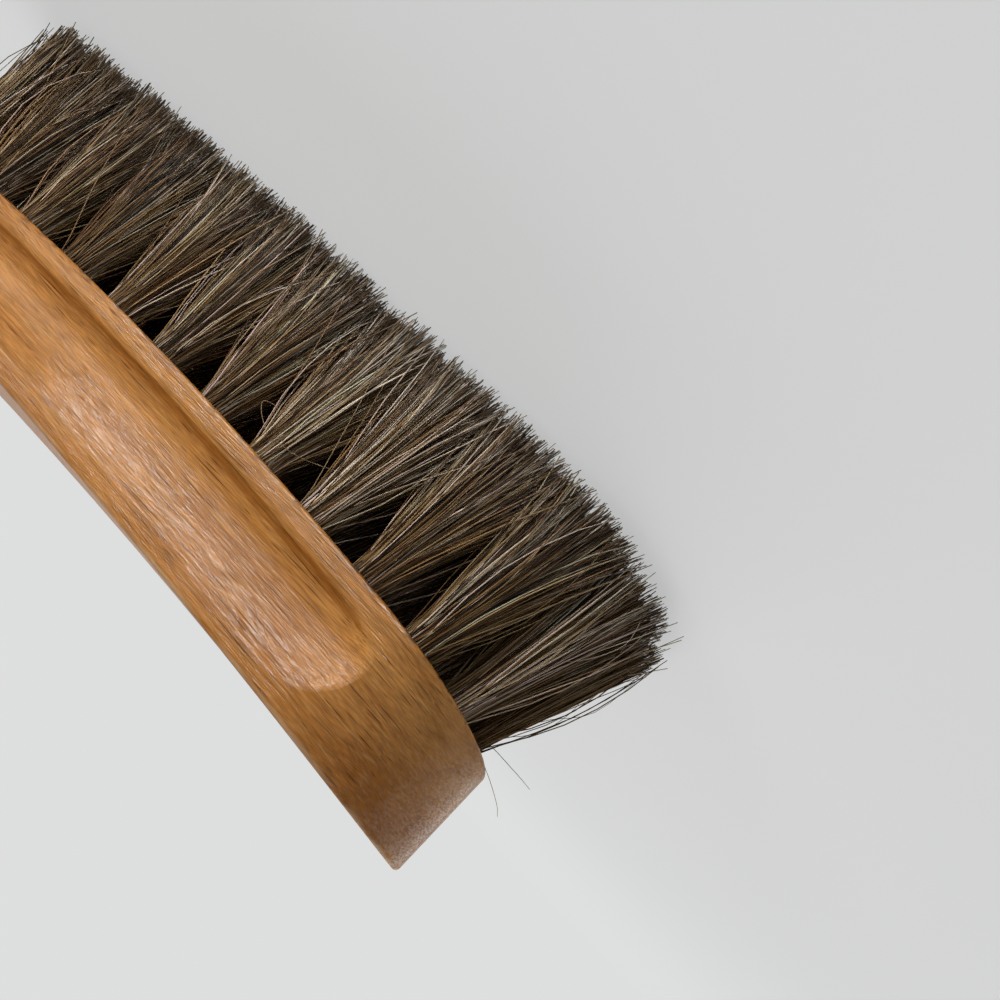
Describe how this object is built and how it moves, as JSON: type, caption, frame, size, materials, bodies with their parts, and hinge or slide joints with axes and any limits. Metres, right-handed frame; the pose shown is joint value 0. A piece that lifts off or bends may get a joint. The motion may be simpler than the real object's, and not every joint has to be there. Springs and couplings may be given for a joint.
{
  "type": "shoe shine brush",
  "caption": "Shoe shine brush: a varnished beech block with a finger cove along each side, and horsehair tufts set in its face by wire staples and trimmed flat at the tips.",
  "frame": {"origin": "on the plane of the hair's tips, under the middle of the block", "axes": "+X along the block's length, +Y across it, +Z from the tips up to the block's back"},
  "size_m": [0.1756, 0.0556, 0.0535],
  "materials": {
    "beech": "satin amber varnish over steamed beech",
    "horsehair": "mixed grey-brown horsehair, loose at the tips",
    "staple_steel": "drawn flat wire"
  },
  "bodies": {
    "root": {"block": "beech", "staples_inner": "staple_steel", "staples_outer": "staple_steel", "tuft_centre_01": "horsehair", "tuft_centre_02": "horsehair", "tuft_centre_03": "horsehair", "tuft_centre_04": "horsehair", "tuft_centre_05": "horsehair", "tuft_centre_06": "horsehair", "tuft_centre_07": "horsehair", "tuft_centre_08": "horsehair", "tuft_middle_01": "horsehair", "tuft_middle_02": "horsehair", "tuft_middle_03": "horsehair", "tuft_middle_04": "horsehair", "tuft_middle_05": "horsehair", "tuft_middle_06": "horsehair", "tuft_middle_07": "horsehair", "tuft_middle_08": "horsehair", "tuft_middle_09": "horsehair", "tuft_middle_10": "horsehair", "tuft_middle_11": "horsehair", "tuft_middle_12": "horsehair", "tuft_middle_13": "horsehair", "tuft_middle_14": "horsehair", "tuft_middle_15": "horsehair", "tuft_middle_16": "horsehair", "tuft_middle_17": "horsehair", "tuft_middle_18": "horsehair", "tuft_middle_19": "horsehair", "tuft_middle_20": "horsehair", "tuft_outer_01": "horsehair", "tuft_outer_02": "horsehair", "tuft_outer_03": "horsehair", "tuft_outer_04": "horsehair", "tuft_outer_05": "horsehair", "tuft_outer_06": "horsehair", "tuft_outer_07": "horsehair", "tuft_outer_08": "horsehair", "tuft_outer_09": "horsehair", "tuft_outer_10": "horsehair", "tuft_outer_11": "horsehair", "tuft_outer_12": "horsehair", "tuft_outer_13": "horsehair", "tuft_outer_14": "horsehair", "tuft_outer_15": "horsehair", "tuft_outer_16": "horsehair", "tuft_outer_17": "horsehair", "tuft_outer_18": "horsehair", "tuft_outer_19": "horsehair", "tuft_outer_20": "horsehair", "tuft_outer_21": "horsehair", "tuft_outer_22": "horsehair", "tuft_outer_23": "horsehair", "tuft_outer_24": "horsehair", "tuft_outer_25": "horsehair", "tuft_outer_26": "horsehair", "tuft_outer_27": "horsehair", "tuft_outer_28": "horsehair"}
  },
  "joints": []
}
